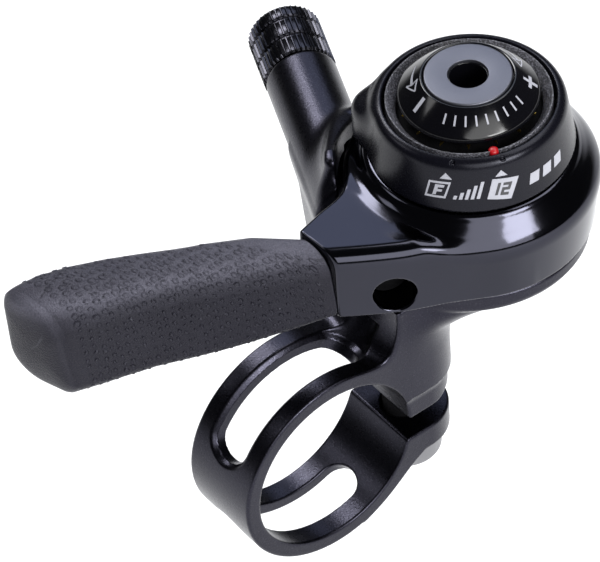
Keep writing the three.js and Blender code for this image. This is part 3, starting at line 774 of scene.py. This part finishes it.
def build_bolt_shank():
    """The threaded length of the clamp bolt that shows in the split, near black: painted shade for the split it
    sits in.
    """
    foot = EAR_FLAT_Z + 0.6
    profile = [(0, foot)]
    for i in range(THREADS):
        low = foot + THREAD_PITCH * i
        profile += [(2.42, low + 0.05), (2.46, low + 0.2), (2.42, low + 0.35)]
    profile.append((0, foot + THREAD_PITCH * THREADS))
    piece = turned("bolt_threads", profile, 64)
    piece.data.transform(Matrix.Translation((0, BOLT_Y * MM, 0)))
    return piece, "bracket"


def subtract(piece, tool):
    modifier = piece.modifiers.new("cut", "BOOLEAN")
    modifier.operation = "DIFFERENCE"
    modifier.solver = "EXACT"
    modifier.object = tool
    graph = bpy.context.evaluated_depsgraph_get()
    mesh = bpy.data.meshes.new_from_object(piece.evaluated_get(graph))
    piece.modifiers.clear()
    old = piece.data
    piece.data = mesh
    bpy.data.meshes.remove(old)
    bpy.data.objects.remove(tool)


# ------------------------------------------------------------------ printed marks
# A mark is a flat outline in (bearing, height or radius), laid on the cover or the knob as a thin
# film of ink with a thickness of its own.

INK = 0.035             # how far the ink stands out
INK_ROOT = 0.12         # how far it reaches in


def on_cover(turn, height, lift):
    radius = COVER_R - COVER_DRAFT * (height - COVER_FOOT) + lift + 0.01
    angle = math.radians(turn)
    return radius * math.cos(angle), HUB_Y + radius * math.sin(angle), height + 0.16 * lift


def on_knob(turn, radius, lift):
    angle = math.radians(turn)
    height = KNOB_EDGE_Z + (KNOB_R - radius) * (KNOB_TIP_Z - KNOB_EDGE_Z) / (KNOB_R - KNOB_TIP_R)
    reach = radius + 0.65 * lift
    return reach * math.cos(angle), HUB_Y + reach * math.sin(angle), height + 0.75 * lift


def film(name, outlines, place, base=0.0, spacing=1.5):
    """Thin closed plates that follow a round surface, cut every few degrees so that they bend. Each
    outline is [(bearing, v), ...]."""
    whole = bmesh.new()
    for outline in outlines:
        bm = bmesh.new()
        area = sum(a[0] * b[1] - b[0] * a[1] for a, b in zip(outline, outline[1:] + outline[:1]))
        outline = outline if area > 0 else outline[::-1]
        bm.faces.new([bm.verts.new((u, v, 0)) for u, v in outline])
        low, high = min(p[0] for p in outline), max(p[0] for p in outline)
        cut = low + spacing
        while cut < high:
            geometry = bm.verts[:] + bm.edges[:] + bm.faces[:]
            bmesh.ops.bisect_plane(bm, geom=geometry, plane_co=(cut, 0, 0), plane_no=(1, 0, 0), dist=1e-5)
            cut += spacing
        grown = bmesh.ops.extrude_face_region(bm, geom=bm.faces[:])
        for vertex in grown["geom"]:
            if isinstance(vertex, bmesh.types.BMVert):
                vertex.co.z = 1
        for vertex in bm.verts:
            u, v, level = vertex.co
            vertex.co = Vector(place(u, v, base + (INK if level > 0.5 else -INK_ROOT))) * MM
        bmesh.ops.recalc_face_normals(bm, faces=bm.faces)
        mesh = mesh_from("part", bm)
        whole.from_mesh(mesh)
        bpy.data.meshes.remove(mesh)
    return placed(name, mesh_from(name, whole))


def frame_of(outer, share):
    """The four sides of a four-cornered outline, as bands that end at its shares of the way out."""
    middle = [sum(p[k] for p in outer) / 4 for k in (0, 1)]
    inner = [tuple(c + (p[k] - c) * s for k, c, s in zip((0, 1), middle, share)) for p in outer]
    return [[outer[i], outer[(i + 1) % 4], inner[(i + 1) % 4], inner[i]] for i in range(4)]


def in_box(box, u, v):
    """A point of a four-cornered box, from its top left, top right, bottom right, bottom left."""
    tl, tr, br, bl = box
    top = [tl[k] + (tr[k] - tl[k]) * u for k in (0, 1)]
    bottom = [bl[k] + (br[k] - bl[k]) * u for k in (0, 1)]
    return tuple(top[k] + (bottom[k] - top[k]) * v for k in (0, 1))


def bar(left, low, right, high, slant=0):
    """The outline of a bar whose top is shifted along by a slant."""
    return [(left, low), (right, low), (right + slant, high), (left + slant, high)]


def strokes(box, bars):
    """Square bars, each given as (left, top, right, bottom) shares of a four-cornered box."""
    return [[in_box(box, left, top), in_box(box, right, top), in_box(box, right, bottom),
             in_box(box, left, bottom)] for left, top, right, bottom in bars]


LETTER_F = ((0.34, 0.2, 0.76, 0.36), (0.34, 0.36, 0.5, 0.82), (0.5, 0.48, 0.72, 0.62))
DIGITS = ((0.26, 0.2, 0.37, 0.8), (0.47, 0.2, 0.8, 0.33), (0.69, 0.33, 0.8, 0.56), (0.47, 0.43, 0.69, 0.56),
          (0.47, 0.56, 0.58, 0.8), (0.58, 0.67, 0.8, 0.8))
ARROW_PIECES = 8
ARROW_LINE = 0.14
FRICTION_BOX = ((-63, 36.2), (-50, 36.4), (-53.2, 34.1), (-65.3, 33.9))
TRIANGLES = (((-56.6, 36.72), (-49.5, 36.78), (-53.2, 37.6)), ((-24.9, 36.85), (-17.7, 36.75), (-21.2, 37.6)))
INDEX_BOX = ((-26.6, 36.6), (-11, 36.1), (-16.8, 33.4), (-30.2, 34.0))


def cover_marks():
    marks = frame_of(FRICTION_BOX, (0.82, 0.76))
    marks += strokes(FRICTION_BOX, LETTER_F)
    marks += [list(outline) for outline in (*TRIANGLES, INDEX_BOX)]
    for i in range(5):
        left = -49.1 + 3.25 * i
        foot, tip = 34.1 + 0.02 * i, 34.6 + 0.46 * i
        marks.append(bar(left, foot, left + 1.9, tip, 1.35 * (tip - foot)))
    # three plain dashes where the maker prints a word
    for i in range(3):
        marks.append(bar(9.5 * i - 5, 34.2, 9.5 * i + 1.5, 35.6, 1.5))
    return film("cover_marks", marks, on_cover), "bracket"


def cover_digits():
    return film("cover_digits", strokes(INDEX_BOX, DIGITS), on_cover, INK * 0.7), "bracket"


def arrow(start, end, radius, width):
    """A curved arrow on the knob, from one bearing to another: a tapering tail and an open head."""
    way = 1 if end > start else -1
    neck = end - way * 12
    marks = []
    for i in range(ARROW_PIECES):
        near, far = i / ARROW_PIECES, (i + 1) / ARROW_PIECES
        a, b = start + (neck - start) * near, start + (neck - start) * far
        wa, wb = width * (0.25 + 0.75 * near) / 2, width * (0.25 + 0.75 * far) / 2
        marks.append([(a, radius - wa), (b, radius - wb), (b, radius + wb), (a, radius + wa)])
    tip = (end, radius - 0.15)
    out = (neck - way * 2.5, radius + 0.62)
    low = (neck - way * 1.5, radius - 0.68)
    notch = (neck + way * 1.2, radius)
    degree = math.radians(radius)      # the length of one degree here
    for a, b in ((tip, out), (out, notch), (notch, low), (low, tip)):
        du, dv = (b[0] - a[0]) * degree, b[1] - a[1]
        size = math.hypot(du, dv)
        nu, nv = -dv / size * ARROW_LINE / degree / 2, du / size * ARROW_LINE / 2
        marks.append([(a[0] - nu, a[1] - nv), (b[0] - nu, b[1] - nv), (b[0] + nu, b[1] + nv),
                      (a[0] + nu, a[1] + nv)])
    return marks


def knob_marks():
    marks = [[(-98.3, 5.95), (-93.9, 5.95), (-94.3, 7.4), (-97.9, 7.4)]]
    turn, radius = 50.6, 7.05
    for half_around, half_out in ((7.6, 0.17), (1.6, 0.78)):
        marks.append(bar(turn - half_around, radius - half_out, turn + half_around, radius + half_out))
    marks += arrow(-152, -113, 6.45, 0.3) + arrow(107, 68, 6.45, 0.3)
    # plain ticks where the maker prints a name
    for i in range(9):
        marks.append(bar(10.5 * i - 64, 6.2, 10.5 * i - 62.2, 7.1))
    return film("knob_marks", marks, on_knob, spacing=2.5), "knob"


# ------------------------------------------------------------------ materials
# Each finish is a node material. Patterns live in object coordinates, which are metres.

def put(node, values):
    for name, value in values.items():
        node.inputs[name].default_value = value


def new_material(name, base, metallic, roughness, specular):
    material = bpy.data.materials.new(name)
    material.use_nodes = True
    tree = material.node_tree
    shader = tree.nodes["Principled BSDF"]
    put(shader, {"Base Color": (*base, 1), "Metallic": metallic, "Roughness": roughness,
                 "Specular IOR Level": specular})
    coordinates = tree.nodes.new("ShaderNodeTexCoord")
    return material, tree, shader, coordinates.outputs["Object"]


def noise(tree, coordinates, scale, detail=2.0, rough=0.5, stretch=None):
    if stretch:
        mapping = tree.nodes.new("ShaderNodeMapping")
        put(mapping, {"Scale": stretch})
        tree.links.new(coordinates, mapping.inputs["Vector"])
        coordinates = mapping.outputs["Vector"]
    node = tree.nodes.new("ShaderNodeTexNoise")
    put(node, {"Scale": scale, "Detail": detail, "Roughness": rough})
    tree.links.new(coordinates, node.inputs["Vector"])
    return node.outputs["Fac"]


def ramp(tree, value, stops):
    node = tree.nodes.new("ShaderNodeValToRGB")
    elements = node.color_ramp.elements
    while len(elements) < len(stops):
        elements.new(0.5)
    for element, (position, colour) in zip(elements, stops):
        element.position = position
        element.color = (*colour, 1)
    tree.links.new(value, node.inputs["Fac"])
    return node.outputs["Color"]


def map_range(tree, value, limits):
    node = tree.nodes.new("ShaderNodeMapRange")
    put(node, limits)
    tree.links.new(value, node.inputs["Value"])
    return node.outputs["Result"]


def bump(tree, shader, height, depth):
    node = tree.nodes.new("ShaderNodeBump")
    put(node, {"Strength": 1, "Distance": depth})
    tree.links.new(height, node.inputs["Height"])
    tree.links.new(node.outputs["Normal"], shader.inputs["Normal"])


def mixed(tree, factor, a, b):
    node = tree.nodes.new("ShaderNodeMix")
    node.data_type = "RGBA"
    tree.links.new(factor, node.inputs["Factor"])
    # 6 and 7 are the colour inputs of a mix node, and 2 its colour output
    for value, socket in ((a, node.inputs[6]), (b, node.inputs[7])):
        if isinstance(value, tuple):
            socket.default_value = (*value, 1)
        else:
            tree.links.new(value, socket)
    return node.outputs[2]


def grained(name, dark, light, metallic, rough_low, rough_high, grain, depth, specular=0.5, patch=60,
            stretch=None):
    """A finish with cloudy colour, uneven gloss and a fine grain in its surface."""
    material, tree, shader, place = new_material(name, dark, metallic, rough_low, specular)
    fine = noise(tree, place, grain, 3, 0.6, stretch)
    cloud = noise(tree, place, patch, 3, 0.55)
    tone = ramp(tree, cloud, ((0.3, dark), (0.7, light)))
    tree.links.new(tone, shader.inputs["Base Color"])
    gloss = map_range(tree, fine, {"To Min": rough_low, "To Max": rough_high})
    tree.links.new(gloss, shader.inputs["Roughness"])
    bump(tree, shader, fine, depth)
    return material, tree, shader, place, fine, tone


def flecked(name, settings, scale, rough, stops, colour):
    """A grained finish with small flecks of another colour."""
    material, tree, shader, place, _, tone = grained(name, *settings)
    black, white = (0, 0, 0), (1, 1, 1)
    flecks = ramp(tree, noise(tree, place, scale, 1, rough), ((stops[0], black), (stops[1], white)))
    tree.links.new(mixed(tree, flecks, tone, colour), shader.inputs["Base Color"])
    return material


def black_alloy():
    """Black anodised alloy: a satin skin with a fine bead-blasted sparkle."""
    settings = ((0.023, 0.0226, 0.031), (0.031, 0.0305, 0.041), 1.0, 0.22, 0.36, 3600, 0.00002)
    return flecked("black_alloy", settings, 7500, 0.4, (0.58, 0.8), (0.055, 0.055, 0.07))


def dial_plastic():
    """Coarse granular moulding."""
    settings = ((0.022, 0.022, 0.027), (0.036, 0.036, 0.043), 0.0, 0.3, 0.55, 3600, 0.0001)
    return flecked("dial_plastic", settings, 5200, 0.5, (0.48, 0.64), (0.17, 0.17, 0.2))


def cover_plastic():
    """Smooth black moulding with a faint grain."""
    material, _, shader, *_ = grained("cover_plastic", (0.0025, 0.0025, 0.0045), (0.004, 0.004, 0.0065),
                                      0.0, 0.22, 0.31, 4200, 0.000006, specular=0.22)
    put(shader, {"Specular Tint": (0.85, 0.86, 1, 1)})
    return material


def grip_rubber():
    """Moulded rubber with painted highlights: paler and speckled along the upper ridge, and paler on the raised
    edges, where light would fall on it.
    """
    material, tree, shader, place, fine, tone = grained(
        "grip_rubber", (0.0045, 0.0043, 0.0075), (0.0075, 0.0072, 0.0115), 0.0, 0.27, 0.42, 5200, 0.00012,
        specular=0.26, patch=110)
    put(shader, {"Specular Tint": (0.84, 0.83, 1, 1)})
    axes = tree.nodes.new("ShaderNodeSeparateXYZ")
    tree.links.new(place, axes.inputs["Vector"])
    # painted highlight: the colour grows paler with height, brightest along the front ridge, where the light
    # falls
    level = map_range(tree, axes.outputs["Z"], {"From Min": 26.5 * MM, "From Max": 31.5 * MM})
    greys = ((0.0, 0), (0.35, 0.2), (0.68, 1), (1.0, 0.45))
    ridge_highlight = ramp(tree, level, [(share, (grey, grey, grey)) for share, grey in greys])
    # painted highlight speckle, mixed in on that band
    sparkle = mixed(tree, fine, (0.008, 0.008, 0.013), (0.15, 0.148, 0.185))
    paler = mixed(tree, ridge_highlight, tone, sparkle)
    # painted highlight: the raised edges are paler still
    geometry = tree.nodes.new("ShaderNodeNewGeometry")
    edge_highlight = map_range(tree, geometry.outputs["Pointiness"], {"From Min": 0.51, "From Max": 0.58})
    tree.links.new(mixed(tree, edge_highlight, paler, (0.03, 0.03, 0.038)), shader.inputs["Base Color"])
    return material


# Dark and light colour, metallic, least and most roughness, grain scale and grain depth in metres
PLAIN = {
    "barrel_alloy": ((0.03, 0.03, 0.037), (0.05, 0.05, 0.06), 1.0, 0.16, 0.28, 3000, 0.000005),
    "bolt_steel": ((0.2, 0.2, 0.21), (0.34, 0.34, 0.35), 0.9, 0.3, 0.5, 1600, 0.00001),
    "turned_steel": ((0.42, 0.42, 0.44), (0.6, 0.6, 0.62), 1.0, 0.22, 0.38, 900, 0.000005),
    "nylon": ((0.66, 0.63, 0.54), (0.76, 0.73, 0.65), 0.0, 0.4, 0.55, 1500, 0.00001),
    "polished_black": ((0.034, 0.0345, 0.045), (0.04, 0.0405, 0.052), 1.0, 0.1, 0.14, 500, 0.0000004),
    "seal_rubber": ((0.016, 0.016, 0.017), (0.03, 0.03, 0.031), 0.0, 0.45, 0.7, 1800, 0.00002),
    "washer_brass": ((0.36, 0.25, 0.06), (0.52, 0.37, 0.1), 1.0, 0.2, 0.36, 1200, 0.000005),
    "friction_fibre": ((0.12, 0.07, 0.04), (0.26, 0.16, 0.09), 0.0, 0.7, 0.9, 1400, 0.00004),
    "red_mark": ((0.32, 0.002, 0.005), (0.46, 0.004, 0.008), 0.0, 0.3, 0.45, 900, 0.000006),
    "gloss_black": ((0.0015, 0.0015, 0.0025), (0.003, 0.003, 0.0042), 0.0, 0.08, 0.15, 700, 0.000001),
    "grey_alloy": ((0.11, 0.114, 0.137), (0.13, 0.134, 0.16), 0.9, 0.38, 0.5, 3200, 0.000008),
    "silver_ink": ((0.32, 0.325, 0.37), (0.4, 0.405, 0.45), 0.0, 0.35, 0.55, 2400, 0.000006),
    "dark_ink": ((0.03, 0.03, 0.033), (0.045, 0.045, 0.05), 0.0, 0.4, 0.55, 2400, 0.000006),
    # black_felt also dresses the looks-only pieces that are painted shade
    "black_felt": ((0.002, 0.002, 0.0025), (0.005, 0.005, 0.006), 0.0, 0.8, 0.95, 5200, 0.00004),
}
EXTRAS = {
    "turned_steel": {"stretch": (1, 1, 9)},
    "polished_black": {"stretch": (1, 1, 0.25), "patch": 40},
    "friction_fibre": {"stretch": (1, 1, 6)},
    "gloss_black": {"specular": 0.4},
    "black_felt": {"specular": 0.1},
}
materials = {name: grained(name, *settings, **EXTRAS.get(name, {}))[0] for name, settings in PLAIN.items()}
for build in (black_alloy, dial_plastic, cover_plastic, grip_rubber):
    materials[build.__name__] = build()
materials["steel"] = materials["turned_steel"]


def dress(piece, material):
    piece.data.materials.clear()
    piece.data.materials.append(material)


for part in frame["record"]["subparts"]:
    node = frame["nodes"][part["node"]]
    dress(node, materials[part["material_slot"]])
    node.data.set_sharp_from_angle(angle=math.radians(CRISP_ANGLE))

BUILDERS = (build_bracket, build_lever, build_grip, build_cover, build_mode_ring, build_mode_dot, build_knob,
            build_screw, build_knob_washer, build_barrel, build_bolt)
for build in BUILDERS:
    piece, body, slot = build()
    dress(piece, materials[slot])
    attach(piece, body)

# pieces that are looks only, with no part of the CAD behind them
LOOKS = ((cover_marks, "silver_ink"), (cover_digits, "dark_ink"), (knob_marks, "silver_ink"),
         # the bolt threads, the pocket disc, the ring under the knob and the screw's lining are painted shade in
         # the recesses they sit in
         (build_bolt_shank, "black_felt"), (build_pocket_shade, "black_felt"),
         (build_knob_shade, "black_felt"), (build_screw_hole_shade, "gloss_black"))
for build, finish in LOOKS:
    piece, body = build()
    dress(piece, materials[finish])
    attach(piece, body)


# ------------------------------------------------------------------ stage, light and camera

FLOOR_Z = -0.09         # in metres, like everything on the stage
LIGHT_AIM = (0, 0.015, 0.02)
CAMERA_PLACE = (0.33101, -0.23126, 0.43357)
CAMERA_TURN = math.radians(-35.026)
CAMERA_HEIGHT = math.radians(45.237)
CAMERA_ROLL = math.radians(-4.449)


def floor_material():
    pale, paler = (0.9, 0.9, 0.9), (0.93, 0.93, 0.93)
    material, tree, shader, place = new_material("studio_floor", pale, 0, 0.9, 0.2)
    tone = ramp(tree, noise(tree, place, 6), ((0.3, pale), (0.7, paler)))
    tree.links.new(tone, shader.inputs["Base Color"])
    put(shader, {"Emission Color": (1, 1, 1, 1), "Emission Strength": 0.15})
    return material


def build_floor():
    bm = bmesh.new()
    bmesh.ops.create_grid(bm, x_segments=2, y_segments=2, size=3)
    floor = placed("studio_floor", mesh_from("studio_floor", bm))
    floor.location = (0, 0, FLOOR_Z)
    dress(floor, floor_material())


def direction(turn, height):
    """The way out at a bearing and a height angle, in radians."""
    return Vector((math.cos(turn) * math.cos(height), math.sin(turn) * math.cos(height), math.sin(height)))


def softbox(name, turn, height, distance, size, power, colour=(1, 1, 1)):
    """An area light that looks at the shifter, from a bearing and a height angle in degrees."""
    light = bpy.data.lights.new(name, "AREA")
    light.shape = "RECTANGLE"
    light.size, light.size_y = size
    light.energy = power
    light.color = colour
    lamp = placed(name, light)
    out = direction(math.radians(turn), math.radians(height))
    lamp.location = Vector(LIGHT_AIM) + out * distance
    lamp.rotation_mode = "QUATERNION"
    lamp.rotation_quaternion = (-out).to_track_quat("-Z", "Y")


def build_camera():
    """The camera looks down on the shifter from outboard and in front, with a long lens."""
    data = bpy.data.cameras.new("camera")
    data.lens = 302.4
    data.sensor_width = 36
    data.clip_start = 0.01
    data.clip_end = 20
    camera = placed("camera", data)
    out = direction(CAMERA_TURN, CAMERA_HEIGHT)
    level = Vector((-math.sin(CAMERA_TURN), math.cos(CAMERA_TURN), 0))
    rise = out.cross(level)
    right = level * math.cos(CAMERA_ROLL) + rise * math.sin(CAMERA_ROLL)
    up = rise * math.cos(CAMERA_ROLL) - level * math.sin(CAMERA_ROLL)
    rotation = Matrix((right, up, out)).transposed()
    camera.matrix_world = Matrix.Translation(CAMERA_PLACE) @ rotation.to_4x4()
    bpy.context.scene.camera = camera


def build_world():
    world = bpy.data.worlds.new("studio")
    world.use_nodes = True
    background = world.node_tree.nodes["Background"]
    put(background, {"Color": (0.93, 0.95, 1.0, 1), "Strength": 0.05})
    bpy.context.scene.world = world


build_floor()
build_world()
build_camera()
softbox("key", 4, 31, 1.0, (0.42, 0.34), 6.5)
softbox("key_spread", -14, 30, 1.1, (1.0, 0.85), 9.5)
softbox("left_back", 174, 47, 1.0, (0.38, 0.28), 5.0)
softbox("left_front", -132, 42, 1.0, (0.28, 0.28), 0.7)
softbox("above", 88, 64, 1.1, (0.8, 0.5), 5.0)
softbox("behind", 136, 41, 1.05, (0.6, 0.5), 1.9, (0.72, 0.8, 1.0))
bpy.context.scene.view_settings.view_transform = "Standard"
